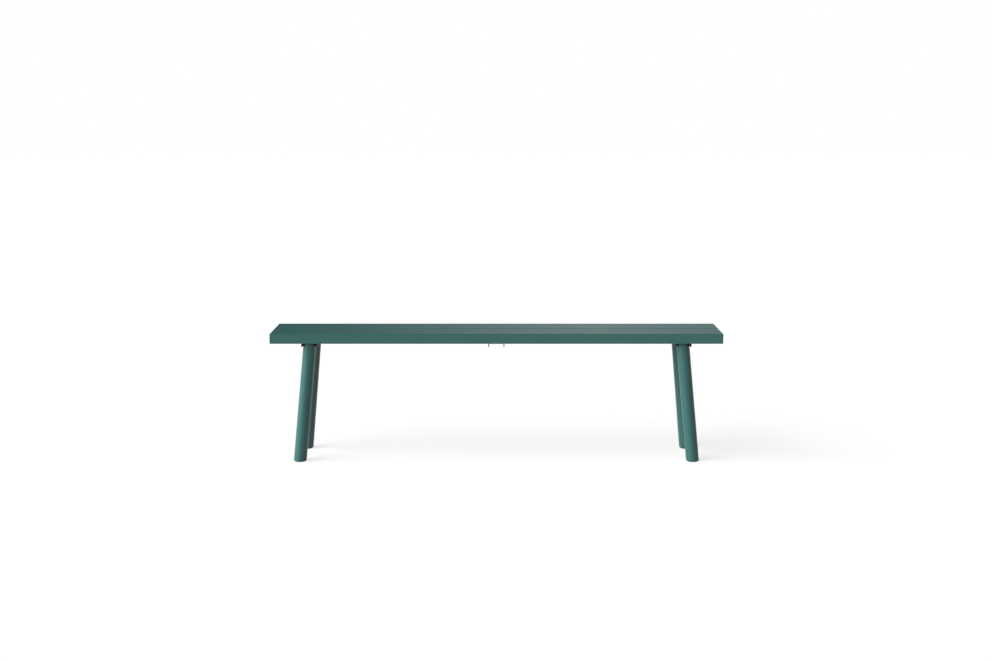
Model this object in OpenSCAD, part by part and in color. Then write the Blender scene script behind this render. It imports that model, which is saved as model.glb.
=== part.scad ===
// Backless bench: two planks on three steel channels, carried by four round legs that lean outwards.
// All sizes are in millimetres. The origin is on the floor below the middle of the seat.
// X runs along the seat, Y across it towards the rear, and Z up.

/* [Seat] */
// Length of the seat
seat_length = 1600; // [1000:10:2200]
// Width of the seat, from its front edge to its rear edge
seat_width = 250; // [230:5:400]
// Height of the seat's top above the floor
seat_height = 463; // [380:1:560]
// Thickness of a plank
plank_thickness = 36; // [28:1:50]
// Open joint between the two planks
plank_gap = 4; // [2:1:10]
// Radius along every edge of a plank
edge_radius = 3; // [1:0.5:6]

/* [Legs] */
// Diameter of a leg
leg_diameter = 46; // [36:1:54]
// Distance from the seat's end to the middle of a leg's top
leg_end_inset = 138; // [60:1:250]
// Distance from the seat's long edge to the middle of a leg's top
leg_side_inset = 43; // [38:1:50]
// Lean of a leg towards the seat's end, in degrees
end_lean = 5.4; // [0:0.1:10]
// Lean of a leg towards the seat's long edge, in degrees
side_lean = 2.9; // [0:0.1:6]
// Radius round the foot of a leg
foot_radius = 2; // [1:0.5:3]

/* [Channels] */
// Height of a channel, from its web's top to its flanges' edges
channel_height = 15; // [12:1:25]
// Thickness of a channel's steel
channel_wall = 3; // [2:0.5:4]
// Outside radius of a channel's bends
bend_radius = 4.5; // [4.2:0.1:6]
// Distance from the seat's long edge to a channel's end
channel_setback = 20; // [5:1:25]
// Space between a leg's top and a channel's flange
leg_side_space = 2.5; // [2:0.5:8]

/* [Leg fixings] */
// Thread diameter of the bolt that holds a leg
bolt_diameter = 8; // [6:1:10]
// Diameter of the bolt's head
bolt_head_diameter = 13; // [12:0.5:17]
// Height of the bolt's head
bolt_head_height = 5; // [4:0.5:8]
// Width of the hexagon socket across its flats
bolt_socket = 5; // [4:0.5:6]
// Outside diameter of the washer
washer_diameter = 24; // [20:1:30]
// Thickness of the washer
washer_thickness = 2; // [1:0.5:3]
// Outside diameter of the threaded insert in a leg's top
insert_diameter = 13; // [12:0.5:16]
// Length of the threaded insert
insert_length = 25; // [15:1:40]
// Diameter of the pin that stops a leg from turning
pin_diameter = 5; // [3:0.5:6]
// Length of the pin
pin_length = 20; // [12:1:30]

/* [Plank screws] */
// Diameter of a wood screw's shank
screw_diameter = 4.5; // [3.5:0.5:6]
// Diameter of a wood screw's head
screw_head_diameter = 9; // [8:0.5:11]
// Height of a wood screw's head
screw_head_height = 3; // [2:0.5:4]
// Wood that is left above a wood screw's tip
screw_cover = 9; // [4:1:14]
// Length of the travel that a slot leaves to its screw
slot_travel = 4; // [2:1:6]

/* [Glides] */
// Height of a glide below the foot
glide_height = 2; // [1.5:0.5:5]
// Distance from a leg's surface in to the glide's rim
glide_inset = 3; // [2:0.5:6]
// Diameter of the glide's spigot
spigot_diameter = 15; // [14:0.5:18]
// Length of the glide's spigot
spigot_length = 8; // [6:0.5:12]
// Diameter of the glide screw's shank
glide_screw_diameter = 4; // [3:0.5:5]
// Length of the glide screw, below its head
glide_screw_length = 22; // [16:1:35]

/* [Hidden] */
$fn = 64;

// Clearance on a diameter where one piece is driven or pressed into another
fit = 0.1;
// Extra length of a cutter past the face that it cuts
over = 1;
// Chamfer on the rims of the small hardware
rim = 0.5;
// Spare depth at the bottom of a blind hole
hole_spare = 1;
// Space round the bolt's washer, and above its head, in the plank
pocket_space = 2;
// Space between a wood screw's head and the channel's flange
flange_space = 6.5;
// Space between a wood screw's slot and the leg beside it
leg_space = 8;
// Distance from a plank's inner edge to the nearer wood screws of the middle channel
inner_inset = 36;
// Distance from the middle channel's end to its outer wood screws
outer_inset = 20;
// Distance from a plank's inner edge to the nearer wood screws of a leg channel
joint_inset = 17;
// Extra width of a slot over its screw, and of a bolt's hole over its bolt
slot_clearance = 1;
// Extra diameter of a washer's hole over its bolt
washer_clearance = 0.4;
// Depth of the drive in a screw's or bolt's head, as a share of the head's height
drive_depth = 0.6;
// Height of the glide screw's head above the floor, so that it never touches it
glide_head_z = 2;
// Number of ridges on the outside of an insert
insert_ridges = 6;
// Depth of those ridges
ridge_depth = 1;
// Extra diameter of the glide's recess over its screw's head
recess_clearance = 1;

seat_bottom = seat_height - plank_thickness;
plank_width = (seat_width - plank_gap) / 2;
web_bottom = seat_bottom - channel_wall;
channel_length = seat_width - 2 * channel_setback;
channel_width = leg_diameter + 2 * leg_side_space + 2 * channel_wall;

leg_top_x = seat_length / 2 - leg_end_inset;
leg_top_y = seat_width / 2 - leg_side_inset;
leg_rise = web_bottom - glide_height;
foot_x = leg_top_x + leg_rise * tan(end_lean);
foot_y = leg_top_y + leg_rise * tan(side_lean);

bolt_length = washer_thickness + channel_wall + insert_length;
bolt_hole = bolt_diameter + slot_clearance;
pocket_diameter = washer_diameter + 2 * pocket_space;
pocket_depth = washer_thickness + bolt_head_height + pocket_space;
pin_y = leg_top_y - (insert_diameter + leg_diameter) / 4;
pin_top = seat_bottom - rim;

screw_length = channel_wall + plank_thickness - screw_cover;
screw_x = channel_width / 2 - channel_wall - flange_space - screw_head_diameter / 2;
slot_width = screw_diameter + slot_clearance;
slot_length = slot_width + slot_travel;
inner_screw_y = plank_gap / 2 + inner_inset;
outer_screw_y = channel_length / 2 - outer_inset;
leg_screw_y = leg_top_y - leg_diameter / 2 - leg_space - slot_length / 2;
joint_screw_y = plank_gap / 2 + joint_inset;

glide_diameter = leg_diameter - 2 * glide_inset;
glide_head_diameter = 2 * glide_screw_diameter;
glide_head_height = glide_screw_diameter / 2;

leg_screws = [for (x = [-screw_x, screw_x], y = [joint_screw_y, leg_screw_y], s = [-1, 1]) [x, s * y]];
middle_screws = [for (y = [inner_screw_y, outer_screw_y], s = [-1, 1]) [0, s * y]];

lacquer = [0.26, 0.40, 0.39];
steel_black = [0.10, 0.10, 0.11];
zinc = [0.72, 0.73, 0.74];
yellow_zinc = [0.70, 0.62, 0.42];
plastic_black = [0.13, 0.13, 0.14];

// ---------- Shared shapes ----------

// Rectangle with round corners, centred.
module round_rect(width, height, radius) {
    square([width - 2 * radius, height], center = true);
    square([width, height - 2 * radius], center = true);
    for (x = [-1, 1], y = [-1, 1])
        translate([x * (width / 2 - radius), y * (height / 2 - radius)]) circle(radius);
}

// Block with every edge rounded, centred.
module round_block(length, width, height, radius) {
    intersection() {
        linear_extrude(height, center = true) round_rect(length, width, radius);
        rotate([90, 0, 0]) linear_extrude(width, center = true) round_rect(length, height, radius);
        rotate([90, 0, 90]) linear_extrude(length, center = true) round_rect(width, height, radius);
    }
}

// Cylinder on the floor plane with a chamfer round its lower rim, its upper rim or both.
module rimmed_cylinder(height, diameter, lower, upper) {
    radius = diameter / 2;
    rotate_extrude()
        polygon([
            [0, 0], [radius - lower, 0], [radius, lower],
            [radius, height - upper], [radius - upper, height], [0, height]
        ]);
}

// Upright slot, centred, long way along Y.
module slot(length, width, depth) {
    run = length - width;
    cube([width, run, depth], center = true);
    for (y = [-1, 1]) translate([0, y * run / 2, 0]) cylinder(depth, d = width, center = true);
}

// Wood screw that points up, with its head's bearing face at the origin and a cross recess below.
module wood_screw(length, diameter, head_diameter, head_height) {
    tip = 2 * diameter;
    cylinder(length - tip, d = diameter);
    translate([0, 0, length - tip]) cylinder(tip, d1 = diameter, d2 = diameter / 4);
    difference() {
        translate([0, 0, -head_height])
            rimmed_cylinder(head_height, head_diameter, head_height / 2, 0);
        translate([0, 0, -head_height]) cross_recess(head_diameter, head_height);
    }
}

// Two crossed grooves cut up into a screw's head.
module cross_recess(head_diameter, head_height) {
    depth = 2 * drive_depth * head_height;
    for (turn = [0, 90])
        rotate([0, 0, turn]) cube([head_diameter / 2, head_diameter / 8, depth], center = true);
}

// ---------- Seat ----------

// A plank: side is -1 for the front one and 1 for the rear one.
module plank(side) {
    middle_y = side * (plank_gap + plank_width) / 2;
    color(lacquer)
        difference() {
            translate([0, middle_y, seat_height - plank_thickness / 2])
                round_block(seat_length, plank_width, plank_thickness, edge_radius);
            for (x = [-leg_top_x, leg_top_x]) {
                translate([x, side * leg_top_y, seat_bottom - over])
                    cylinder(pocket_depth + over, d = pocket_diameter);
                screw_pilots(x, side, leg_screws);
            }
            screw_pilots(0, side, middle_screws);
        }
}

// Pilot holes for those of a channel's screws that enter the plank on one side.
module screw_pilots(x, side, screws) {
    for (place = screws)
        if (sign(place.y) == side)
            translate([x + place.x, place.y, seat_bottom - over])
                cylinder(screw_length - channel_wall + over, d = screw_diameter + fit);
}

// ---------- Channels ----------

// Outline of a channel's section above the line through its flanges' edges.
module channel_outline(width, height, radius) {
    translate([-width / 2, 0]) square([width, height - radius]);
    translate([radius - width / 2, 0]) square([width - 2 * radius, height]);
    for (x = [-1, 1]) translate([x * (width / 2 - radius), height - radius]) circle(radius);
}

// A channel, open side down, with a slot for each of its screws.
module channel(x, screws, has_legs) {
    color(steel_black)
        difference() {
            translate([x, 0, seat_bottom - channel_height]) rotate([90, 0, 0])
                linear_extrude(channel_length, center = true)
                    difference() {
                        channel_outline(channel_width, channel_height, bend_radius);
                        translate([0, -over])
                            channel_outline(
                                channel_width - 2 * channel_wall,
                                channel_height - channel_wall + over,
                                bend_radius - channel_wall
                            );
                    }
            for (place = screws)
                translate([x + place.x, place.y, seat_bottom - channel_wall / 2])
                    slot(slot_length, slot_width, channel_wall + 2 * over);
            if (has_legs)
                for (side = [-1, 1]) {
                    translate([x, side * leg_top_y, web_bottom - over])
                        cylinder(channel_wall + 2 * over, d = bolt_hole);
                    translate([x, side * pin_y, web_bottom - over])
                        cylinder(channel_wall + 2 * over, d = pin_diameter + fit);
                }
        }
}

// The wood screws of one channel.
module channel_screws(x, screws) {
    color(zinc)
        for (place = screws)
            translate([x + place.x, place.y, web_bottom])
                wood_screw(screw_length, screw_diameter, screw_head_diameter, screw_head_height);
}

// ---------- Legs ----------

// Everything between the foot's plane and the web, with two bevels that round the foot's edge.
module leg_bounds() {
    radius = leg_diameter / 2;
    bevel = foot_radius * (1 - sin(45));
    widening = (leg_rise - foot_radius) * tan(22.5);
    rotate_extrude()
        polygon([
            [0, 0], [radius - foot_radius, 0], [radius - bevel, bevel],
            [radius + widening, leg_rise], [0, leg_rise]
        ]);
}

// The round bar of a leg before its ends are cut, from its foot's middle up to its top's middle.
module leg_bar(end_side, long_side) {
    lean_x = -end_side * end_lean;
    lean_y = atan(long_side * tan(side_lean) * cos(lean_x));
    rotate([lean_y, lean_x, 0])
        translate([0, 0, -leg_diameter])
            cylinder(leg_rise / (cos(lean_x) * cos(lean_y)) + 2 * leg_diameter, d = leg_diameter);
}

// A leg: end_side is -1 for the left end and 1 for the right, long_side -1 for the front and 1 for the rear.
module leg(end_side, long_side) {
    color(lacquer)
        difference() {
            translate([end_side * foot_x, long_side * foot_y, glide_height])
                intersection() {
                    leg_bar(end_side, long_side);
                    leg_bounds();
                }
            translate([end_side * leg_top_x, long_side * leg_top_y, web_bottom - insert_length - hole_spare])
                cylinder(insert_length + hole_spare + over, d = insert_diameter + fit);
            translate([end_side * leg_top_x, long_side * pin_y, pin_top - pin_length - hole_spare])
                cylinder(pin_length + hole_spare + over, d = pin_diameter + fit);
            translate([end_side * foot_x, long_side * foot_y, glide_height - over])
                cylinder(spigot_length + over, d = spigot_diameter + fit);
            translate([end_side * foot_x, long_side * foot_y, glide_height])
                cylinder(glide_head_z + glide_head_height + glide_screw_length, d = glide_screw_diameter + fit);
        }
}

// The threaded insert in a leg's top, with ridges that bite into the wood.
module insert(end_side, long_side) {
    pitch = insert_length / insert_ridges;
    color(yellow_zinc)
        translate([end_side * leg_top_x, long_side * leg_top_y, web_bottom - insert_length])
            difference() {
                union() {
                    cylinder(insert_length, d = insert_diameter - 2 * ridge_depth);
                    for (i = [0 : insert_ridges - 1])
                        translate([0, 0, (i + 0.5) * pitch - pitch / 4])
                            rimmed_cylinder(pitch / 2, insert_diameter, pitch / 8, pitch / 8);
                }
                translate([0, 0, -over]) cylinder(insert_length + 2 * over, d = bolt_diameter + fit);
            }
}

// The bolt that holds a leg, with its head on the washer above the web.
module bolt(end_side, long_side) {
    socket_depth = drive_depth * bolt_head_height;
    color(zinc)
        translate([end_side * leg_top_x, long_side * leg_top_y, seat_bottom + washer_thickness])
            difference() {
                union() {
                    translate([0, 0, -bolt_length])
                        rimmed_cylinder(bolt_length + over, bolt_diameter, rim, 0);
                    rimmed_cylinder(bolt_head_height, bolt_head_diameter, 0, rim);
                }
                translate([0, 0, bolt_head_height - socket_depth])
                    cylinder(socket_depth + over, d = bolt_socket / cos(30), $fn = 6);
            }
}

// The washer under a bolt's head.
module washer(end_side, long_side) {
    color(zinc)
        translate([end_side * leg_top_x, long_side * leg_top_y, seat_bottom])
            difference() {
                cylinder(washer_thickness, d = washer_diameter);
                translate([0, 0, -over])
                    cylinder(washer_thickness + 2 * over, d = bolt_diameter + washer_clearance);
            }
}

// The pin beside the bolt, through the web and down into the leg.
module pin(end_side, long_side) {
    color(zinc)
        translate([end_side * leg_top_x, long_side * pin_y, pin_top - pin_length])
            rimmed_cylinder(pin_length, pin_diameter, rim, rim);
}

// ---------- Glides ----------

// The glide under a foot: a disc with a spigot that enters the leg, recessed for its screw.
module glide(end_side, long_side) {
    color(plastic_black)
        translate([end_side * foot_x, long_side * foot_y, 0])
            difference() {
                union() {
                    rimmed_cylinder(glide_height, glide_diameter, rim, 0);
                    cylinder(glide_height + spigot_length - hole_spare, d = spigot_diameter);
                }
                translate([0, 0, -over])
                    cylinder(
                        glide_head_z + glide_head_height + over,
                        d = glide_head_diameter + recess_clearance
                    );
                cylinder(glide_height + spigot_length + over, d = glide_screw_diameter + fit);
            }
}

// The screw that holds a glide.
module glide_screw(end_side, long_side) {
    color(zinc)
        translate([end_side * foot_x, long_side * foot_y, glide_head_z + glide_head_height])
            wood_screw(
                glide_screw_length, glide_screw_diameter, glide_head_diameter, glide_head_height
            );
}

// ---------- Nodes ----------

plank(-1);  // front_plank
plank(1);  // rear_plank

channel(-leg_top_x, leg_screws, true);  // left_leg_channel
channel(0, middle_screws, false);  // middle_channel
channel(leg_top_x, leg_screws, true);  // right_leg_channel

channel_screws(-leg_top_x, leg_screws);  // left_channel_screws
channel_screws(0, middle_screws);  // middle_channel_screws
channel_screws(leg_top_x, leg_screws);  // right_channel_screws

leg(-1, -1);  // front_left_leg
leg(1, -1);  // front_right_leg
leg(-1, 1);  // rear_left_leg
leg(1, 1);  // rear_right_leg

insert(-1, -1);  // front_left_insert
insert(1, -1);  // front_right_insert
insert(-1, 1);  // rear_left_insert
insert(1, 1);  // rear_right_insert

bolt(-1, -1);  // front_left_bolt
bolt(1, -1);  // front_right_bolt
bolt(-1, 1);  // rear_left_bolt
bolt(1, 1);  // rear_right_bolt

washer(-1, -1);  // front_left_washer
washer(1, -1);  // front_right_washer
washer(-1, 1);  // rear_left_washer
washer(1, 1);  // rear_right_washer

pin(-1, -1);  // front_left_pin
pin(1, -1);  // front_right_pin
pin(-1, 1);  // rear_left_pin
pin(1, 1);  // rear_right_pin

glide(-1, -1);  // front_left_glide
glide(1, -1);  // front_right_glide
glide(-1, 1);  // rear_left_glide
glide(1, 1);  // rear_right_glide

glide_screw(-1, -1);  // front_left_glide_screw
glide_screw(1, -1);  // front_right_glide_screw
glide_screw(-1, 1);  // rear_left_glide_screw
glide_screw(1, 1);  // rear_right_glide_screw
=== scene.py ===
"""Backless bench: finishes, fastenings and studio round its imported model.

The planks, legs, channels, washers, inserts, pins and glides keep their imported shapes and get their
finishes here. The screws and bolts are made again with real threads and drives. All sizes are in metres.
"""

from __future__ import annotations

import logging
import math
import random
from dataclasses import dataclass
from enum import Enum

import bmesh
import bpy
from mathutils import Matrix, Vector

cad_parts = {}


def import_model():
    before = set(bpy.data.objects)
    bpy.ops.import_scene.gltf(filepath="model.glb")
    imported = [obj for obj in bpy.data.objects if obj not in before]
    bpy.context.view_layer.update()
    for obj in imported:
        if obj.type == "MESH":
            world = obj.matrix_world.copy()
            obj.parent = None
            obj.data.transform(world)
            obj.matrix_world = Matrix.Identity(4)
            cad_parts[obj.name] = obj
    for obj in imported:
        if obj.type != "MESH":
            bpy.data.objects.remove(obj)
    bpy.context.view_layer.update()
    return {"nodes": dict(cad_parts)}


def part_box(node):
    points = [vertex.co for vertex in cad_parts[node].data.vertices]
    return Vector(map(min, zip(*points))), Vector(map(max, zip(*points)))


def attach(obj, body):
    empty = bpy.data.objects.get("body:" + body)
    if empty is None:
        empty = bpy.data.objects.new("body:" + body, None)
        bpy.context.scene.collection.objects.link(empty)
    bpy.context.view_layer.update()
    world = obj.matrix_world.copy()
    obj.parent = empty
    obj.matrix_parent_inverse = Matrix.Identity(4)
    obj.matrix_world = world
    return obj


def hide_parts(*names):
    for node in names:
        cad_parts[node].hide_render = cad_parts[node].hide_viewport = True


log = logging.getLogger("bench")

BODY = "root"
MM = 0.001
SAME_LEVEL = 0.01 * MM
WELD = 0.0001 * MM

Colour = tuple[float, float, float]
Point = tuple[float, float, float]
Outline = tuple[tuple[float, float], ...]
Socket = bpy.types.NodeSocket
Fed = Socket | float | Colour


class Corner(Enum):
    """The four places of a leg: its signs along the seat and across it."""

    FRONT_LEFT = (-1, -1)
    FRONT_RIGHT = (1, -1)
    REAR_LEFT = (-1, 1)
    REAR_RIGHT = (1, 1)

    @property
    def label(self) -> str:
        """The corner's name as the nodes spell it."""
        return self.name.lower()


class Station(Enum):
    """The three places of a channel under the seat."""

    LEFT = "left"
    MIDDLE = "middle"
    RIGHT = "right"


class Drive(Enum):
    """The recess in a screw's head.

    The values are how much narrower its bottom is than its mouth, and how deep its drill point is, both as
    shares of its width.
    """

    CROSS = (0.28, 0.0)
    HEXAGON = (0.0, 0.125)


# ---------- Node wiring ----------


@dataclass(frozen=True)
class Patches:
    """Soft noise of one scale.

    Attributes:
        size: The length of a patch along each axis.
        detail: How many finer layers are added.
        roughness: How strong the finer layers are.
    """

    size: Point
    detail: float = 2.0
    roughness: float = 0.5


@dataclass(frozen=True)
class Spots(Patches):
    """Patches that are cut down to separate spots.

    Attributes:
        begin: The noise at which a spot begins.
        full: The noise at which it is full.
    """

    begin: float = 0.5
    full: float = 0.7


def cube(side: float) -> Point:
    """Gives a patch the same size along each axis."""
    return (side, side, side)


class Wiring:
    """Adds and joins the nodes of one shader tree.

    The Mix node keeps sockets for each kind of data, and the first three numbers here are those for
    colours. The last two say how well the rounded and the true normal match on a flat face and on an edge.
    """

    MIX_FIRST = 6
    MIX_SECOND = 7
    MIX_RESULT = 2
    FLAT_MATCH = 0.985
    EDGE_MATCH = 0.80

    def __init__(self, tree: bpy.types.NodeTree) -> None:
        """Empties the tree.

        Args:
            tree: The node tree of a material or of the world.
        """
        self.tree = tree
        self.tree.nodes.clear()

    def add(self, kind: str, **settings: object) -> bpy.types.Node:
        """Adds a node.

        Args:
            kind: The node's type, without its ShaderNode prefix.
            **settings: Properties of the node and their values.

        Returns:
            The new node.
        """
        node = self.tree.nodes.new("ShaderNode" + kind)
        for name, value in settings.items():
            setattr(node, name, value)
        return node

    def feed(self, socket: Socket, value: Fed) -> None:
        """Joins a socket to another one, or sets its own value.

        Args:
            socket: The input to feed.
            value: An output socket, a number or a colour.
        """
        if isinstance(value, bpy.types.NodeSocket):
            self.tree.links.new(value, socket)
        elif socket.type == "RGBA":
            socket.default_value = (*value, 1.0)
        else:
            socket.default_value = value

    def math(self, operation: str, first: Fed, second: Fed = 0.0, third: Fed = 0.0) -> Socket:
        """Works out one sum.

        Args:
            operation: The Math node's operation.
            first: The first number.
            second: The second number.
            third: The third number.

        Returns:
            The result.
        """
        node = self.add("Math", operation=operation)
        for socket, value in zip(node.inputs, (first, second, third)):
            self.feed(socket, value)
        return node.outputs["Value"]

    def scaled_sum(self, start: float, *terms: tuple[Socket, float]) -> Socket:
        """Adds up numbers, each times its own weight.

        Args:
            start: What the sum starts from.
            *terms: Pairs of a number and its weight.

        Returns:
            The sum.
        """
        total: Fed = start
        for value, weight in terms:
            total = self.math("MULTIPLY_ADD", value, weight, total)
        return total

    def vector(self, operation: str, first: Fed, second: Fed = (0.0, 0.0, 0.0)) -> bpy.types.Node:
        """Adds a Vector Math node.

        Args:
            operation: The node's operation.
            first: The first vector.
            second: The second vector.

        Returns:
            The node, whose outputs are Vector and Value.
        """
        node = self.add("VectorMath", operation=operation)
        self.feed(node.inputs[0], first)
        self.feed(node.inputs[1], second)
        return node

    def noise(self, place: Socket, patches: Patches) -> Socket:
        """Makes soft noise.

        Args:
            place: Where the noise is read.
            patches: The noise's scale.

        Returns:
            Noise from 0 to 1.
        """
        spread = self.vector("MULTIPLY", place, tuple(1.0 / length for length in patches.size))
        node = self.add("TexNoise", noise_dimensions="3D")
        self.feed(node.inputs["Vector"], spread.outputs["Vector"])
        self.feed(node.inputs["Scale"], 1.0)
        self.feed(node.inputs["Detail"], patches.detail)
        self.feed(node.inputs["Roughness"], patches.roughness)
        return node.outputs["Fac"]

    def spots(self, place: Socket, spots: Spots) -> Socket:
        """Makes separate spots.

        Args:
            place: Where they are read.
            spots: Their scale and how much of the surface they leave.

        Returns:
            A number that rises from 0 between the spots to 1 in them.
        """
        return self.step(self.noise(place, spots), spots.begin, spots.full)

    def step(
        self, value: Socket, low: float, high: float, out_low: float = 0.0, out_high: float = 1.0
    ) -> Socket:
        """Turns a number smoothly from one level to another.

        Args:
            value: The number.
            low: Where the turn starts.
            high: Where the turn ends.
            out_low: The level before it.
            out_high: The level after it.

        Returns:
            The level.
        """
        node = self.add("MapRange", interpolation_type="SMOOTHSTEP")
        self.feed(node.inputs["Value"], value)
        self.feed(node.inputs["From Min"], low)
        self.feed(node.inputs["From Max"], high)
        self.feed(node.inputs["To Min"], out_low)
        self.feed(node.inputs["To Max"], out_high)
        return node.outputs["Result"]

    def blend(self, share: Fed, first: Fed, second: Fed) -> Socket:
        """Blends two colours.

        Args:
            share: How much of the second colour shows.
            first: The first colour.
            second: The second colour.

        Returns:
            The blended colour.
        """
        node = self.add("Mix", data_type="RGBA", blend_type="MIX")
        self.feed(node.inputs["Factor"], share)
        self.feed(node.inputs[self.MIX_FIRST], first)
        self.feed(node.inputs[self.MIX_SECOND], second)
        return node.outputs[self.MIX_RESULT]

    def shades(self, share: Socket, tone: Colour, deepest: float, palest: float) -> Socket:
        """Varies a colour between a deeper and a paler shade of it.

        Args:
            share: How much of the paler shade shows.
            tone: The colour.
            deepest: The deeper shade, as a share of the colour.
            palest: The paler shade, as a share of the colour.

        Returns:
            The varied colour.
        """
        deep = tuple(deepest * part for part in tone)
        pale = tuple(palest * part for part in tone)
        return self.blend(share, deep, pale)

    def bump(self, height: Socket, depth: float, normal: Socket | None = None) -> Socket:
        """Turns a height into a normal.

        Args:
            height: The height, from 0 to 1.
            depth: What a height of 1 measures.
            normal: A normal that this one is laid over.

        Returns:
            The normal.
        """
        node = self.add("Bump")
        self.feed(node.inputs["Height"], height)
        self.feed(node.inputs["Distance"], depth)
        if normal is not None:
            self.feed(node.inputs["Normal"], normal)
        return node.outputs["Normal"]

    def edges(self, radius: float) -> Socket:
        """Finds the places near an edge.

        Args:
            radius: How far from an edge a place may be.

        Returns:
            A number that rises from 0 on a flat face towards 1 on an edge.
        """
        rounded = self.add("Bevel", samples=4)
        self.feed(rounded.inputs["Radius"], radius)
        flat = self.add("NewGeometry")
        match = self.vector("DOT_PRODUCT", rounded.outputs["Normal"], flat.outputs["True Normal"])
        return self.step(match.outputs["Value"], self.FLAT_MATCH, self.EDGE_MATCH)

    def surface(self, colour: Socket, roughness: Socket, normal: Socket, levels: dict[str, float]) -> None:
        """Ends the tree in a surface.

        Args:
            colour: Its colour.
            roughness: How matt it is.
            normal: Its normal.
            levels: Other inputs of the shader, by name.
        """
        shader = self.add("BsdfPrincipled")
        self.feed(shader.inputs["Base Color"], colour)
        self.feed(shader.inputs["Roughness"], roughness)
        self.feed(shader.inputs["Normal"], normal)
        for name, level in levels.items():
            self.feed(shader.inputs[name], level)
        self.feed(self.add("OutputMaterial").inputs["Surface"], shader.outputs["BSDF"])


def new_material(name: str) -> tuple[bpy.types.Material, Wiring]:
    """Makes a material with no nodes in it yet.

    Args:
        name: The material's name.

    Returns:
        The material and its wiring.
    """
    made = bpy.data.materials.new(name)
    made.use_nodes = True
    return made, Wiring(made.node_tree)


# ---------- Finishes ----------


@dataclass(frozen=True)
class Fibre:
    """How the timber of one piece lies in it.

    Attributes:
        axis: The direction of the fibres.
        heart: A point on the middle of the tree the piece was cut from.
        upright: How steep the fibres are when they count as upright, as the height of their unit vector.
        long_grain: How squarely a face may cut the fibres and show no end grain.
        end_grain: How squarely it cuts them where it shows nothing else.
    """

    axis: Point
    heart: Point
    upright: float = 0.7
    long_grain: float = 0.55
    end_grain: float = 0.85

    def place(self, wiring: Wiring) -> tuple[Socket, Socket]:
        """Gives each point's place in the tree.

        Args:
            wiring: The tree of nodes to add to.

        Returns:
            The place, with the fibres along X and the heart on the X axis, and the share of end grain.
        """
        along = Vector(self.axis).normalized()
        helper = Vector((0.0, 0.0, 1.0)) if abs(along.z) < self.upright else Vector((1.0, 0.0, 0.0))
        across = along.cross(helper).normalized()
        out = along.cross(across)
        point = wiring.add("TexCoord").outputs["Object"]
        moved = wiring.vector("SUBTRACT", point, self.heart).outputs["Vector"]
        joined = wiring.add("CombineXYZ")
        for socket, direction in zip(joined.inputs, (along, across, out)):
            wiring.feed(socket, wiring.vector("DOT_PRODUCT", moved, tuple(direction)).outputs["Value"])
        normal = wiring.add("NewGeometry").outputs["True Normal"]
        match = wiring.vector("DOT_PRODUCT", normal, tuple(along))
        facing = wiring.math("ABSOLUTE", match.outputs["Value"])
        return joined.outputs["Vector"], wiring.step(facing, self.long_grain, self.end_grain)


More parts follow.
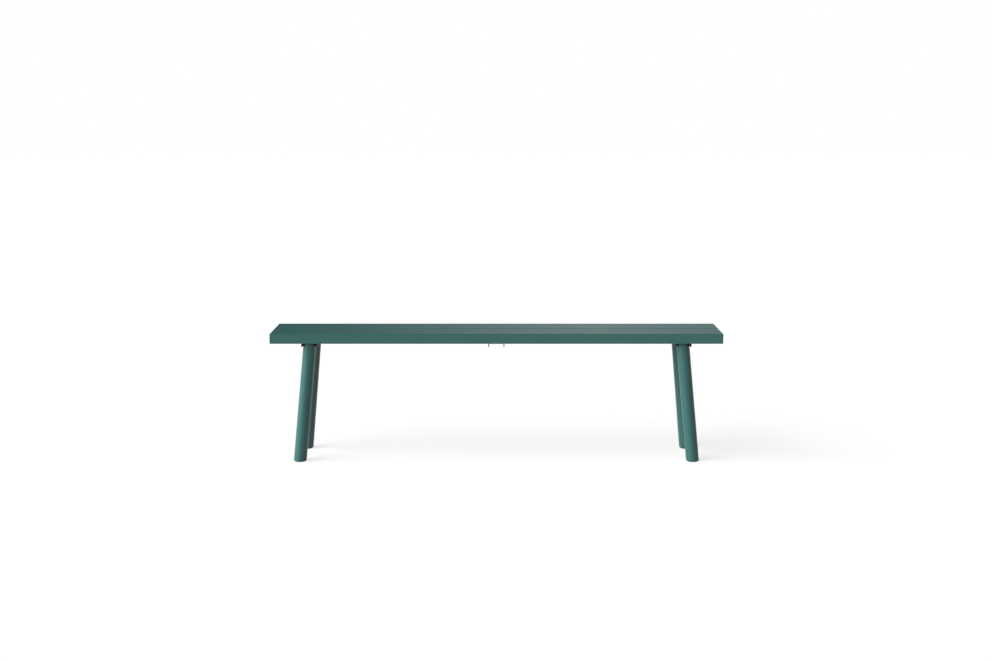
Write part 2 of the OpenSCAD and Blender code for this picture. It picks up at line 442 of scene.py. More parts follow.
@dataclass(frozen=True)
class SatinLacquer:
    """Opaque satin lacquer, sprayed on planed timber whose grain shows through faintly.

    Attributes:
        tone: The lacquer's colour.
        rubbed: Its colour where it is thin on an edge.
        roughness: How matt it is.
        specular: How strongly it shines.
        relief: How deep the grain stands in it.
        peel_share: The depth of its orange peel, as a share of the relief.
        ring_width: The width of a growth ring.
        ring_sway: How far the slow drift of the grain turns the rings' wave, in radians.
        ring_power: The power that the rings' wave is raised to, which narrows the late wood.
        drift: The slow drift of the grain.
        threads: The fine threads of the grain.
        pores: The open pores.
        patches: The cloudiness of the spray.
        peel: The orange peel.
        chafed: The parts of an edge that are rubbed thin.
        chafe_share: How much of the rubbed colour shows on them.
        edge: How far a rubbed edge reaches.
        deepest: The deepest shade of the lacquer, as a share of its tone.
        palest: The palest shade.
    """

    tone: Colour
    rubbed: Colour
    roughness: float = 0.38
    specular: float = 0.52
    relief: float = 0.00006
    peel_share: float = 0.4
    ring_width: float = 0.0055
    ring_sway: float = 26.0
    ring_power: float = 2.2
    drift: Patches = Patches((0.55, 0.05, 0.05))
    threads: Patches = Patches((0.16, 0.0016, 0.0016), detail=3.0, roughness=0.6)
    pores: Spots = Spots((0.022, 0.0007, 0.0007), detail=1.0, begin=0.60, full=0.74)
    patches: Patches = Patches((0.42, 0.06, 0.06), detail=3.0)
    peel: Patches = Patches(cube(0.0022))
    chafed: Spots = Spots((0.07, 0.02, 0.02), detail=4.0, begin=0.42, full=0.78)
    chafe_share: float = 0.55
    edge: float = 0.0022
    deepest: float = 0.86
    palest: float = 1.14

    def material(self, name: str, fibre: Fibre) -> bpy.types.Material:
        """Makes the finish for a piece.

        Args:
            name: The material's name.
            fibre: How the timber lies in the piece.

        Returns:
            The material.
        """
        made, w = new_material(name)
        place, end_grain = fibre.place(w)
        ring = self.rings(w, place)
        thread = w.noise(place, self.threads)
        pore = w.spots(place, self.pores)
        patch = w.noise(place, self.patches)
        chafe = w.math("MULTIPLY", w.edges(self.edge), w.spots(place, self.chafed))

        shade = w.scaled_sum(
            0.12, (patch, 0.55), (thread, 0.28), (ring, 0.16), (end_grain, -0.30), (pore, -0.10)
        )
        colour = w.shades(shade, self.tone, self.deepest, self.palest)
        colour = w.blend(w.math("MULTIPLY", chafe, self.chafe_share), colour, self.rubbed)
        height = w.scaled_sum(0.0, (ring, -0.55), (thread, 0.9), (pore, -0.5), (end_grain, -0.2))
        peel = w.noise(place, self.peel)
        normal = w.bump(peel, self.peel_share * self.relief, w.bump(height, self.relief))
        matt = w.scaled_sum(
            self.roughness - 0.06, (patch, 0.06), (thread, 0.05), (chafe, 0.08), (end_grain, 0.08)
        )
        w.surface(colour, matt, normal, {"Specular IOR Level": self.specular})
        return made

    def rings(self, w: Wiring, place: Socket) -> Socket:
        """Draws the growth rings round the heart.

        Args:
            w: The material's nodes.
            place: Each point's place in the tree.

        Returns:
            A number that rises from 0 to 1 in the late wood of each ring.
        """
        parts = w.add("SeparateXYZ")
        w.feed(parts.inputs[0], place)
        far_up = w.math("MULTIPLY", parts.outputs["Z"], parts.outputs["Z"])
        square = w.math("MULTIPLY_ADD", parts.outputs["Y"], parts.outputs["Y"], far_up)
        reach = w.math("SQRT", square)
        drift = w.noise(place, self.drift)
        turned = w.scaled_sum(0.0, (reach, 2.0 * math.pi / self.ring_width), (drift, self.ring_sway))
        wave = w.scaled_sum(0.5, (w.math("SINE", turned), 0.5))
        return w.math("POWER", wave, self.ring_power)


@dataclass(frozen=True)
class PowderCoat:
    """Baked powder coating on steel, with fine orange peel and edges that are rubbed a little bare.

    Attributes:
        tone: The coating's colour.
        rubbed: Its colour along an edge.
        roughness: How matt it is.
        specular: How strongly it shines.
        relief: How deep its orange peel is.
        peel: The orange peel.
        dust: The specks of dust under it.
        clouds: The slow change of its shade.
        chafed: The parts of an edge that are rubbed.
        chafe_share: How much of the rubbed colour shows on them.
        edge: How far a rubbed edge reaches.
        deepest: The deepest shade of the coating, as a share of its tone.
        palest: The palest shade.
    """

    tone: Colour
    rubbed: Colour
    roughness: float = 0.58
    specular: float = 0.25
    relief: float = 0.00004
    peel: Patches = Patches(cube(0.0016))
    dust: Spots = Spots(cube(0.0012), detail=0.0, begin=0.70, full=0.80)
    clouds: Patches = Patches(cube(0.05), detail=3.0)
    chafed: Spots = Spots(cube(0.02), detail=4.0, begin=0.40, full=0.70)
    chafe_share: float = 0.6
    edge: float = 0.0012
    deepest: float = 0.8
    palest: float = 1.25

    def material(self, name: str) -> bpy.types.Material:
        """Makes the finish.

        Args:
            name: The material's name.

        Returns:
            The material.
        """
        made, w = new_material(name)
        place = w.add("TexCoord").outputs["Object"]
        peel = w.noise(place, self.peel)
        dust = w.spots(place, self.dust)
        cloud = w.noise(place, self.clouds)
        chafe = w.math("MULTIPLY", w.edges(self.edge), w.spots(place, self.chafed))
        colour = w.shades(cloud, self.tone, self.deepest, self.palest)
        colour = w.blend(w.math("MULTIPLY", chafe, self.chafe_share), colour, self.rubbed)
        normal = w.bump(w.scaled_sum(0.0, (peel, 1.0), (dust, 0.3)), self.relief)
        matt = w.scaled_sum(self.roughness - 0.05, (cloud, 0.10), (chafe, -0.12))
        w.surface(colour, matt, normal, {"Specular IOR Level": self.specular})
        return made


@dataclass(frozen=True)
class Plating:
    """Turned or ground steel, bare or plated with zinc.

    Attributes:
        tone: The metal's colour.
        tint: A second colour that it turns to in patches.
        roughness: How matt it is.
        scratch: How deep its fine marks are.
        clouds: The patches of the second colour.
        turning: The fine marks left by turning.
        grime: The specks of grime.
        grime_shade: The colour of grime, as a share of the tone.
        grime_share: How much of that colour shows.
    """

    tone: Colour
    tint: Colour
    roughness: float = 0.32
    scratch: float = 0.00001
    clouds: Spots = Spots(cube(0.004), detail=4.0, roughness=0.6, begin=0.35, full=0.68)
    turning: Patches = Patches((0.003, 0.003, 0.00025))
    grime: Spots = Spots(cube(0.0022), detail=3.0, begin=0.52, full=0.72)
    grime_shade: float = 0.55
    grime_share: float = 0.25

    def material(self, name: str) -> bpy.types.Material:
        """Makes the finish.

        Args:
            name: The material's name.

        Returns:
            The material.
        """
        made, w = new_material(name)
        place = w.add("TexCoord").outputs["Object"]
        cloud = w.noise(place, self.clouds)
        grime = w.spots(place, self.grime)
        colour = w.blend(w.step(cloud, self.clouds.begin, self.clouds.full), self.tone, self.tint)
        dark = tuple(self.grime_shade * part for part in self.tone)
        colour = w.blend(w.math("MULTIPLY", grime, self.grime_share), colour, dark)
        normal = w.bump(w.noise(place, self.turning), self.scratch)
        matt = w.scaled_sum(self.roughness - 0.08, (cloud, 0.16), (grime, 0.12))
        w.surface(colour, matt, normal, {"Metallic": 1.0})
        return made


@dataclass(frozen=True)
class MouldedPlastic:
    """Moulded plastic with a fine spark texture, scuffed where it meets the floor.

    Attributes:
        tone: The plastic's colour.
        scuff: Its colour where the floor has rubbed it.
        roughness: How matt it is.
        relief: How deep its texture is.
        texture: The fine texture.
        clouds: The slow change of its shade.
        streaks: The streaks of the scuffing.
        scuff_top: The height above the floor at which the scuffing ends.
        scuff_full: The height below which it is full.
        scuff_share: How much of the scuffed colour shows there.
        deepest: The deepest shade of the plastic, as a share of its tone.
        palest: The palest shade.
    """

    tone: Colour
    scuff: Colour
    roughness: float = 0.58
    relief: float = 0.00002
    texture: Patches = Patches(cube(0.0006))
    clouds: Patches = Patches(cube(0.012), detail=3.0)
    streaks: Spots = Spots((0.009, 0.0012, 0.004), detail=3.0, begin=0.46, full=0.66)
    scuff_top: float = 0.0012
    scuff_full: float = 0.0002
    scuff_share: float = 0.7
    deepest: float = 0.85
    palest: float = 1.2

    def material(self, name: str) -> bpy.types.Material:
        """Makes the finish.

        Args:
            name: The material's name.

        Returns:
            The material.
        """
        made, w = new_material(name)
        place = w.add("TexCoord").outputs["Object"]
        parts = w.add("SeparateXYZ")
        w.feed(parts.inputs[0], place)
        low = w.step(parts.outputs["Z"], self.scuff_top, self.scuff_full)
        worn = w.math("MULTIPLY", low, w.spots(place, self.streaks))
        cloud = w.noise(place, self.clouds)
        colour = w.shades(cloud, self.tone, self.deepest, self.palest)
        colour = w.blend(w.math("MULTIPLY", worn, self.scuff_share), colour, self.scuff)
        normal = w.bump(w.noise(place, self.texture), self.relief)
        matt = w.scaled_sum(self.roughness - 0.04, (cloud, 0.08), (worn, 0.15))
        w.surface(colour, matt, normal, {})
        return made


SEAT_LACQUER = SatinLacquer(tone=(0.0265, 0.106, 0.098), rubbed=(0.060, 0.150, 0.140))
# The legs' lacquer is the seat's paint with its tone lifted a little, most in red. The lift is painted
# light: it stands in for the brighter light and whiter sheen on the legs.
LEG_LACQUER_PAINTED_PALER = SatinLacquer(tone=(0.0280, 0.108, 0.0995), rubbed=(0.060, 0.150, 0.140), specular=0.44)
BLACK_COAT = PowderCoat(tone=(0.005, 0.005, 0.0055), rubbed=(0.030, 0.030, 0.032))
BRIGHT_ZINC = Plating(tone=(0.60, 0.61, 0.63), tint=(0.50, 0.53, 0.58))
YELLOW_ZINC = Plating(tone=(0.62, 0.50, 0.24), tint=(0.52, 0.46, 0.34), roughness=0.36)
GROUND_STEEL = Plating(tone=(0.56, 0.56, 0.55), tint=(0.50, 0.50, 0.50), roughness=0.25)
NYLON = MouldedPlastic(tone=(0.017, 0.017, 0.018), scuff=(0.10, 0.10, 0.10))


def finish_node(node: bpy.types.Object, material: bpy.types.Material) -> None:
    """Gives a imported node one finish.

    Args:
        node: The node's object.
        material: Its finish.
    """
    for place in node.material_slots:
        place.material = material
    log.info("finished %s with %s", node.name, material.name)


# ---------- Sub-assemblies ----------


@dataclass
class Seat:
    """The two planks.

    Attributes:
        heart_depth: How far below its middle the heart of a plank's tree lay.
        heart_shift: How far to the rear it lay, for each plank by name.
    """

    heart_depth: float = 0.085
    heart_shift: tuple[tuple[str, float], ...] = (("front_plank", 0.021), ("rear_plank", -0.034))

    def dress(self, nodes: dict[str, bpy.types.Object]) -> None:
        """Finishes both planks.

        Args:
            nodes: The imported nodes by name.
        """
        for name, shift in self.heart_shift:
            low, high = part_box(name)
            middle = (low + high) / 2
            heart = (middle.x, middle.y + shift, middle.z - self.heart_depth)
            fibre = Fibre(axis=(1.0, 0.0, 0.0), heart=heart)
            finish_node(nodes[name], SEAT_LACQUER.material(name + "_lacquer", fibre))


@dataclass
class Legs:
    """The four legs with their glides.

    Attributes:
        heart_side: How far along the seat from a leg's middle the heart of its tree lay.
        heart_depth: How far across the seat it lay.
    """

    heart_side: float = 0.056
    heart_depth: float = 0.042

    def dress(self, nodes: dict[str, bpy.types.Object]) -> None:
        """Finishes the legs and glides.

        Args:
            nodes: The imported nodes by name.
        """
        nylon = NYLON.material("glide_nylon")
        for corner in Corner:
            name = corner.label + "_leg"
            foot = self.end_middle(nodes[name], low_end=True)
            top = self.end_middle(nodes[name], low_end=False)
            along, across = corner.value
            away = Vector((across * self.heart_side, along * self.heart_depth, 0.0))
            fibre = Fibre(axis=tuple(top - foot), heart=tuple(foot + away))
            # The legs take the lacquer with the lifted tone, which is painted light on them.
            finish_node(nodes[name], LEG_LACQUER_PAINTED_PALER.material(name + "_lacquer", fibre))
            finish_node(nodes[corner.label + "_glide"], nylon)

    @staticmethod
    def end_middle(leg: bpy.types.Object, low_end: bool) -> Vector:
        """Finds the middle of a leg's foot or top.

        Args:
            leg: The leg's node.
            low_end: True for the foot.

        Returns:
            The middle.
        """
        points = [vertex.co for vertex in leg.data.vertices]
        level = min(p.z for p in points) if low_end else max(p.z for p in points)
        rim = [p for p in points if abs(p.z - level) < SAME_LEVEL]
        return Vector((
            (min(p.x for p in rim) + max(p.x for p in rim)) / 2,
            (min(p.y for p in rim) + max(p.y for p in rim)) / 2,
            level,
        ))


@dataclass
class Steelwork:
    """The three channels under the seat."""

    def dress(self, nodes: dict[str, bpy.types.Object]) -> None:
        """Finishes the channels.

        Args:
            nodes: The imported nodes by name.
        """
        coat = BLACK_COAT.material("channel_powder_coat")
        for name in ("left_leg_channel", "middle_channel", "right_leg_channel"):
            finish_node(nodes[name], coat)


@dataclass(frozen=True)
class Fastener:
    """A screw or bolt, made with its head's bearing face at height 0 and its tip up.

    Attributes:
        length: From the bearing face to the tip.
        diameter: The diameter over its thread.
        crown: The head's outline, as pairs of radius and height, from its top to the bearing face.
        pitch: The thread's pitch.
        ridge: One pitch of the thread, as pairs of the share of the pitch and the share of its depth.
        plain: The length of the smooth shank under the head.
        taper: The length of the pointed tip, or 0 for a blunt end.
        drive: The recess in the head.
        drive_width: The recess's width across its flats, or from end to end of its arms.
        drive_depth: The recess's depth.
        sides: How many sides its rings have, and a turn of its thread.
        core_share: The diameter at the root of the thread, as a share of the diameter over it.
        tip_share: The thickness at the end of the pointed tip, as a share of the full one.
        run_share: How much of a pitch the thread takes to reach its full depth at either end.
        arm_share: The thickness of a cross's arms, as a share of the recess's width.
    """

    length: float
    diameter: float
    crown: Outline
    pitch: float
    ridge: Outline
    plain: float
    taper: float
    drive: Drive
    drive_width: float
    drive_depth: float
    sides: int = 24
    core_share: float = 0.70
    tip_share: float = 0.25
    run_share: float = 0.8
    arm_share: float = 0.25

    @property
    def core(self) -> float:
        """The radius at the root of the thread."""
        return self.core_share * self.diameter / 2

    @property
    def head_height(self) -> float:
        """How far the head stands back from its bearing face."""
        return -self.crown[0][1]

    def spoke(self, index: int, radius: float, height: float) -> Point:
        """Finds a corner of a ring.

        Args:
            index: The corner's number.
            radius: The ring's radius.
            height: The ring's height.

        Returns:
            The corner's place.
        """
        angle = 2.0 * math.pi * (index % self.sides) / self.sides
        return (radius * math.cos(angle), radius * math.sin(angle), height)

    def thread_point(self, turn_index: int, share: float, depth: float) -> Point:
        """Finds a point on the thread, run out smoothly at both of its ends.

        Args:
            turn_index: How many sides of the ring the thread has wound past.
            share: The place within one pitch.
            depth: The share of the thread's depth there.

        Returns:
            The point's place.
        """
        height = self.plain + self.pitch * (turn_index / self.sides - 1.0 + share)
        run = self.run_share * self.pitch
        run_in = min(1.0, max(0.0, (height - self.plain) / run))
        run_out = min(1.0, max(0.0, (self.length - height) / run))
        radius = self.core + (self.diameter / 2 - self.core) * depth * run_in * run_out
        height = min(self.length, max(self.plain, height))
        if self.taper:
            past = max(0.0, (height - self.length + self.taper) / self.taper)
            radius *= 1.0 - (1.0 - self.tip_share) * past
        return self.spoke(turn_index, radius, height)

    def turn_body(self) -> bmesh.types.BMesh:
        """Turns the head and shank, and winds the thread round them.

        Returns:
            The closed body, without its drive.
        """
        work = bmesh.new()
        outline = (*self.crown, (self.core, 0.0), (self.core, self.plain))
        rings = [
            [work.verts.new(self.spoke(side, radius, height)) for side in range(self.sides)]
            for radius, height in outline
        ]
        for low, high in zip(rings, rings[1:]):
            for side in range(self.sides):
                after = (side + 1) % self.sides
                work.faces.new((low[side], low[after], high[after], high[side]))
        work.faces.new(tuple(reversed(rings[0])))

        steps = self.sides * (math.ceil((self.length - self.plain) / self.pitch) + 2)
        grid = [
            [work.verts.new(self.thread_point(step, share, depth)) for share, depth in self.ridge]
            for step in range(steps + 1)
        ]
        for step in range(steps):
            here = grid[step]
            after = grid[step + 1]
            for row in range(len(self.ridge) - 1):
                work.faces.new((here[row], after[row], after[row + 1], here[row + 1]))
            next_turn = step + self.sides
            if next_turn < steps:
                work.faces.new((here[-1], after[-1], grid[next_turn + 1][0], grid[next_turn][0]))
        bmesh.ops.remove_doubles(work, verts=work.verts, dist=WELD)
        bmesh.ops.dissolve_degenerate(work, edges=work.edges, dist=WELD)
        bmesh.ops.holes_fill(work, edges=[edge for edge in work.edges if edge.is_boundary])
        bmesh.ops.recalc_face_normals(work, faces=work.faces)
        return work

    def drive_outline(self) -> list[tuple[float, float]]:
        """Draws the recess as it looks from above the head.

        Returns:
            The corners, in order.
        """
        reach = self.drive_width / 2
        if self.drive is Drive.HEXAGON:
            corner = reach / math.cos(math.pi / 6)
            angles = [math.pi * k / 3 for k in range(6)]
            return [(corner * math.cos(angle), corner * math.sin(angle)) for angle in angles]
        arm = reach * self.arm_share
        quarter = [(reach, -arm), (reach, arm), (arm, arm)]
        corners = []
        for k in range(4):
            cos = round(math.cos(math.pi * k / 2))
            sin = round(math.sin(math.pi * k / 2))
            corners += [(x * cos - y * sin, x * sin + y * cos) for x, y in quarter]
        return corners

    def drive_tool(self) -> bmesh.types.BMesh:
        """Makes the punch that leaves the recess, narrower at its bottom.

        Returns:
            The closed punch.
        """
        work = bmesh.new()
        start = -self.head_height - self.drive_depth
        bottom = -self.head_height + self.drive_depth
        narrowing, point = self.drive.value
        wide = 1.0 + narrowing
        narrow = 1.0 - narrowing
        outline = self.drive_outline()
        low = [work.verts.new((wide * x, wide * y, start)) for x, y in outline]
        high = [work.verts.new((narrow * x, narrow * y, bottom)) for x, y in outline]
        tip = work.verts.new((0.0, 0.0, bottom + point * self.drive_width))
        for k, corner in enumerate(low):
            after = (k + 1) % len(low)
            work.faces.new((corner, low[after], high[after], high[k]))
            work.faces.new((high[k], high[after], tip))
        work.faces.new(tuple(reversed(low)))
        bmesh.ops.recalc_face_normals(work, faces=work.faces)
        return work

    def make(self) -> bpy.types.Mesh:
        """Turns the body and punches the drive into it.

        Returns:
            The finished mesh.
        """
        parts = []
        for name, work in (("fastener_body", self.turn_body()), ("fastener_punch", self.drive_tool())):
            mesh = bpy.data.meshes.new(name)
            work.to_mesh(mesh)
            work.free()
            parts.append(bpy.data.objects.new(name, mesh))
            bpy.context.scene.collection.objects.link(parts[-1])
        body, punch = parts
        cut = body.modifiers.new("drive", "BOOLEAN")
        cut.operation = "DIFFERENCE"
        cut.solver = "EXACT"
        cut.object = punch
        made = bpy.data.meshes.new_from_object(body.evaluated_get(bpy.context.evaluated_depsgraph_get()))
        for part in parts:
            bpy.data.objects.remove(part)
        return made


def in_millimetres(*points: tuple[float, float]) -> Outline:
    """Turns an outline given in millimetres into metres."""
    return tuple((radius * MM, height * MM) for radius, height in points)


WOOD_RIDGE = ((0.0, 0.0), (0.44, 0.0), (0.68, 1.0), (0.78, 1.0))
METRIC_RIDGE = ((0.0, 0.0), (0.12, 0.0), (0.50, 1.0), (0.62, 1.0))

PLANK_SCREW = Fastener(
    length=30.0 * MM,
    diameter=4.5 * MM,
    crown=in_millimetres(
        (2.6, -3.0), (3.1, -2.8), (3.75, -2.2), (4.22, -1.7),
        (4.42, -1.3), (4.5, -0.9), (4.5, -0.15), (4.35, 0.0),
    ),
    pitch=2.0 * MM,
    ridge=WOOD_RIDGE,
    plain=3.0 * MM,
    taper=9.0 * MM,
    drive=Drive.CROSS,
    drive_width=4.6 * MM,
    drive_depth=1.8 * MM,
)
GLIDE_SCREW = Fastener(
    length=22.0 * MM,
    diameter=4.0 * MM,
    crown=in_millimetres(
        (2.7, -2.0), (3.1, -1.86), (3.6, -1.38), (3.9, -1.0), (4.0, -0.6), (4.0, -0.12), (3.9, 0.0),
    ),
    pitch=1.8 * MM,
    ridge=WOOD_RIDGE,
    plain=1.5 * MM,
    taper=8.0 * MM,
    drive=Drive.CROSS,
    drive_width=4.1 * MM,
    drive_depth=1.2 * MM,
)
LEG_BOLT = Fastener(
    length=30.0 * MM,
    diameter=8.0 * MM,
    crown=in_millimetres((5.9, -5.0), (6.3, -4.8), (6.5, -4.4), (6.5, -0.2), (6.3, 0.0)),
    pitch=1.25 * MM,
    ridge=METRIC_RIDGE,
    plain=6.0 * MM,
    taper=0.0,
    drive=Drive.HEXAGON,
    drive_width=5.0 * MM,
    drive_depth=3.0 * MM,
    sides=32,
    core_share=0.82,
)


@dataclass
class Fastenings:
    """The screws, bolts, washers, inserts and pins.

    Attributes:
        reach: No two points of one screw are further apart across it than this.
        seed: What the turn of each screw's drive is drawn from.
        smooth_angle: Two faces that meet at less than this look like one curve, in degrees.
    """

    reach: float = 15.0 * MM
    seed: int = 11
    smooth_angle: float = 32.0

    def dress(self, nodes: dict[str, bpy.types.Object]) -> None:
        """Finishes the plain fastenings, and makes the screws and bolts again.

        Args:
            nodes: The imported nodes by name.
        """
        zinc = BRIGHT_ZINC.material("bright_zinc")
        yellow = YELLOW_ZINC.material("yellow_zinc_plate")
        ground = GROUND_STEEL.material("ground_steel")
        turns = random.Random(self.seed)
        plank_screw = PLANK_SCREW.make()
        glide_screw = GLIDE_SCREW.make()
        leg_bolt = LEG_BOLT.make()
        for station in Station:
            node = nodes[station.value + "_channel_screws"]
            self.stand_in(node, plank_screw, PLANK_SCREW, True, zinc, turns)
        for corner in Corner:
            self.stand_in(nodes[corner.label + "_glide_screw"], glide_screw, GLIDE_SCREW, True, zinc, turns)
            self.stand_in(nodes[corner.label + "_bolt"], leg_bolt, LEG_BOLT, False, zinc, turns)
            for piece, material in (("insert", yellow), ("washer", zinc), ("pin", ground)):
                finish_node(nodes[f"{corner.label}_{piece}"], material)

    def boxes(self, node: bpy.types.Object) -> list[tuple[Vector, Vector]]:
        """Finds the box of each screw in a node.

        Args:
            node: The node's object.

        Returns:
            The lowest and highest corner of each.
        """
        groups: list[list[Vector]] = []
        for vertex in node.data.vertices:
            point = vertex.co
            near = [group for group in groups if (group[0].xy - point.xy).length < self.reach]
            if near:
                near[0].append(point)
            else:
                groups.append([point])
        return [(Vector(map(min, zip(*group))), Vector(map(max, zip(*group)))) for group in groups]

    def stand_in(
        self,
        node: bpy.types.Object,
        mesh: bpy.types.Mesh,
        shape: Fastener,
        head_down: bool,
        material: bpy.types.Material,
        turns: random.Random,
    ) -> None:
        """Puts threaded fastenings in the place of a node's plain ones.

        Args:
            node: The node's object.
            mesh: One fastening, its tip up.
            shape: The fastening's sizes.
            head_down: True if its tip points up.
            material: Its finish.
            turns: Where the turn of its drive is drawn from.
        """
        work = bmesh.new()
        for low, high in self.boxes(node):
            middle = (low + high) / 2
            bearing = low.z + shape.head_height if head_down else high.z - shape.head_height
            place = Matrix.Translation((middle.x, middle.y, bearing))
            if not head_down:
                place = place @ Matrix.Rotation(math.pi, 4, "X")
            copy = mesh.copy()
            copy.transform(place @ Matrix.Rotation(turns.uniform(0.0, math.pi), 4, "Z"))
            work.from_mesh(copy)
            bpy.data.meshes.remove(copy)
        made = bpy.data.meshes.new(node.name + "_threaded")
        work.to_mesh(made)
        work.free()
        made.shade_smooth()
        made.set_sharp_from_angle(angle=math.radians(self.smooth_angle))
        made.materials.append(material)
        piece = bpy.data.objects.new(node.name + "_threaded", made)
        bpy.context.scene.collection.objects.link(piece)
        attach(piece, BODY)
        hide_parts(node.name)
        log.info("made %s with %d faces", piece.name, len(made.polygons))


# ---------- Studio ----------


@dataclass
class Studio:
    """The camera, the key light, the surrounding white and the floor.

    Attributes:
        camera_distance: How far before the seat's middle the camera stands.
        camera_height: How high it stands.
        camera_side: How far it stands to the right.
        camera_dip: How far it looks down, in degrees.
        lens: Its focal length, in millimetres.
        sensor: The width of its sensor, in millimetres.
        key_side: How far left of the camera's line the key light stands, in degrees.
        key_height: How high it stands, in degrees.
        key_spread: How wide it looks from the object, in degrees.
        key_level: The level of a white face square to it.
        surround: The level of the surrounding light.
        gloss_low: The level of most of what the bench reflects.
        gloss_glow: How much brighter the glow behind it is.
        glow_rise: Where the glow rises, from left to right, in degrees to the right of straight back.
        glow_fall: Where it falls.
        glow_rest: What it falls to, as a share.
        gloss_left: How much brighter the left side is, near the floor.
        left_turn: Where the left side brightens, as the rightward part of a unit direction.
        left_height: Where it dims with height, as the upward part of a unit direction.
        left_rest: What it dims to, as a share.
        floor_tone: The floor's own reflectance.
        floor_lift: What is added to the floor where it is seen, so that it reads as white.
        floor_reach: How far the floor reaches from its middle.
        floor_squares: How many squares it is divided into along each side.
    """

    camera_distance: float = 5.4538
    camera_height: float = 1.2916
    camera_side: float = -0.0013
    camera_dip: float = 8.711
    lens: float = 55.589
    sensor: float = 36.0
    key_side: float = 64.0
    key_height: float = 25.5
    key_spread: float = 68.0
    key_level: float = 2.0
    surround: float = 0.11
    gloss_low: float = 0.02
    gloss_glow: float = 0.96
    glow_rise: tuple[float, float] = (-9.5, 10.5)
    glow_fall: tuple[float, float] = (3.5, 8.5)
    glow_rest: float = 0.35
    gloss_left: float = 3.0
    left_turn: tuple[float, float] = (-0.35, -0.85)
    left_height: tuple[float, float] = (0.04, 0.26)
    left_rest: float = 0.22
    floor_tone: float = 0.30
    floor_lift: float = 0.735
    floor_reach: float = 30.0
    floor_squares: int = 8

    def build(self) -> None:
        """Builds the whole studio."""
        self.stand_camera()
        self.hang_key()
        self.wrap_world()
        self.lay_floor()
        bpy.context.scene.view_settings.view_transform = "Standard"

    def stand_camera(self) -> None:
        """Stands the camera before the bench."""
        camera = bpy.data.objects.new("camera", bpy.data.cameras.new("camera"))
        camera.data.lens = self.lens
        camera.data.sensor_width = self.sensor
        camera.data.sensor_fit = "HORIZONTAL"
        camera.location = (self.camera_side, -self.camera_distance, self.camera_height)
        camera.rotation_euler = (math.radians(90.0 - self.camera_dip), 0.0, 0.0)
        bpy.context.scene.collection.objects.link(camera)
        bpy.context.scene.camera = camera

    def hang_key(self) -> None:
        """Hangs the wide key light at the left, where the lacquer does not mirror it."""
        side = math.radians(self.key_side)
        height = math.radians(self.key_height)
        level = math.cos(height)
        back = Vector((-math.sin(side) * level, -math.cos(side) * level, math.sin(height)))
        key = bpy.data.objects.new("key_light", bpy.data.lights.new("key_light", "SUN"))
        key.data.energy = math.pi * self.key_level
        key.data.angle = math.radians(self.key_spread)
        key.visible_glossy = False
        key.rotation_mode = "QUATERNION"
        key.rotation_quaternion = back.to_track_quat("Z", "Y")
        bpy.context.scene.collection.objects.link(key)

    def wrap_world(self) -> None:
        """Wraps the scene in white that is seen, and in a lower even light that falls on the bench."""
        world = bpy.data.worlds.new("studio")
        world.use_nodes = True
        bpy.context.scene.world = world
        w = Wiring(world.node_tree)
        path = w.add("LightPath")
        seen = w.math("ADD", path.outputs["Is Camera Ray"], path.outputs["Is Transmission Ray"])
        plain = w.math("MAXIMUM", seen, self.surround)
        mirrored = path.outputs["Is Glossy Ray"]
        rest = w.math("MULTIPLY", plain, w.math("SUBTRACT", 1.0, mirrored))
        light = w.add("Background")
        w.feed(light.inputs["Color"], (1.0, 1.0, 1.0))
        w.feed(light.inputs["Strength"], w.math("MULTIPLY_ADD", mirrored, self.gloss_shade(w), rest))
        w.feed(w.add("OutputWorld").inputs["Surface"], light.outputs["Background"])

    def gloss_shade(self, w: Wiring) -> Fed:
        """Shades the white in reflections: bright low at the left and in a soft glow behind, dim elsewhere.

        Args:
            w: The world's nodes.

        Returns:
            The share of white, by direction.
        """
        parts = w.add("SeparateXYZ")
        w.feed(parts.inputs[0], w.add("TexCoord").outputs["Generated"])
        turn = w.math("ARCTAN2", parts.outputs["X"], parts.outputs["Y"])
        rise = w.step(turn, *map(math.radians, self.glow_rise))
        fall = w.step(turn, *map(math.radians, self.glow_fall), 1.0, self.glow_rest)
        glow = w.math("MULTIPLY", rise, fall)
        near_floor = w.step(parts.outputs["Z"], *self.left_height, 1.0, self.left_rest)
        left = w.math("MULTIPLY", w.step(parts.outputs["X"], *self.left_turn), near_floor)
        return w.scaled_sum(self.gloss_low, (glow, self.gloss_glow), (left, self.gloss_left))

    def lay_floor(self) -> None:
        """Lays the pale floor, which does not show from below."""
        mesh = bpy.data.meshes.new("floor")
        work = bmesh.new()
        bmesh.ops.create_grid(
            work, x_segments=self.floor_squares, y_segments=self.floor_squares, size=self.floor_reach
        )
        work.to_mesh(mesh)
        work.free()
        floor = bpy.data.objects.new("floor", mesh)
        bpy.context.scene.collection.objects.link(floor)
        paint, w = new_material("floor_paint")
        path = w.add("LightPath")
        seen = w.math("ADD", path.outputs["Is Camera Ray"], path.outputs["Is Glossy Ray"])
        seen = w.math("ADD", seen, path.outputs["Is Transmission Ray"])
        matt = w.add("BsdfDiffuse")
        w.feed(matt.inputs["Color"], (self.floor_tone,) * 3)
        lift = w.add("Emission")
        w.feed(lift.inputs["Color"], (1.0, 1.0, 1.0))
        w.feed(lift.inputs["Strength"], w.math("MULTIPLY", seen, self.floor_lift))
        both = w.add("AddShader")
        w.feed(both.inputs[0], matt.outputs["BSDF"])
        w.feed(both.inputs[1], lift.outputs["Emission"])
        open_below = w.add("MixShader")
        w.feed(open_below.inputs["Fac"], w.add("NewGeometry").outputs["Backfacing"])
        w.feed(open_below.inputs[1], both.outputs["Shader"])
        w.feed(open_below.inputs[2], w.add("BsdfTransparent").outputs["BSDF"])
        w.feed(w.add("OutputMaterial").inputs["Surface"], open_below.outputs["Shader"])
        mesh.materials.append(paint)


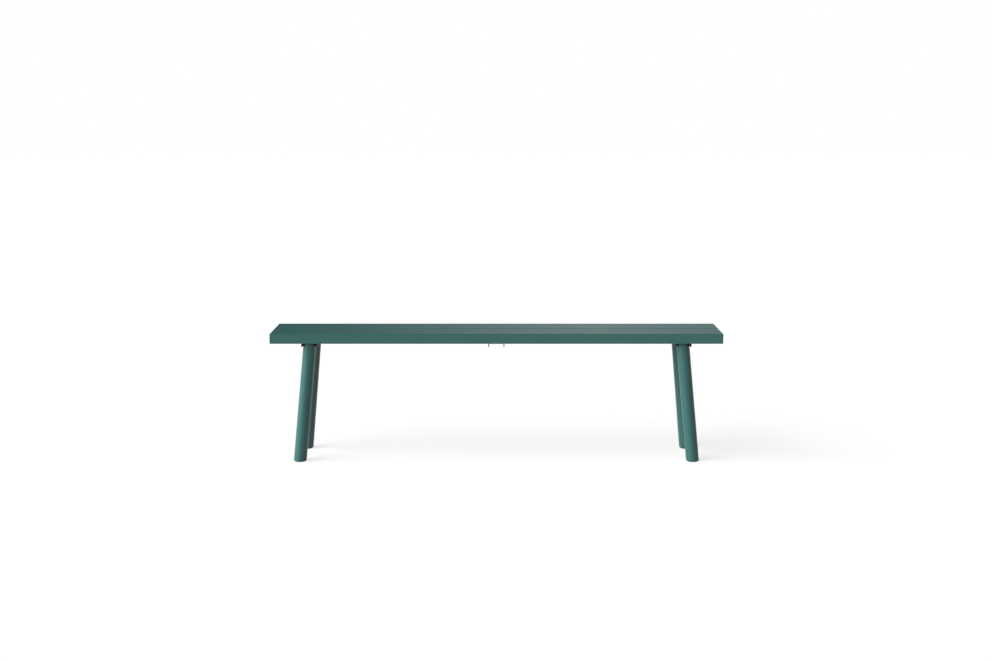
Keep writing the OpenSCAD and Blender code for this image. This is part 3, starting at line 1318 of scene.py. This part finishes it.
def main() -> None:
    """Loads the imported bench, dresses each sub-assembly and builds the studio."""
    logging.basicConfig(level=logging.INFO, format="%(name)s: %(message)s")
    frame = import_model()
    nodes = frame["nodes"]
    Seat().dress(nodes)
    Legs().dress(nodes)
    Steelwork().dress(nodes)
    Fastenings().dress(nodes)
    Studio().build()


if __name__ == "__main__":
    main()
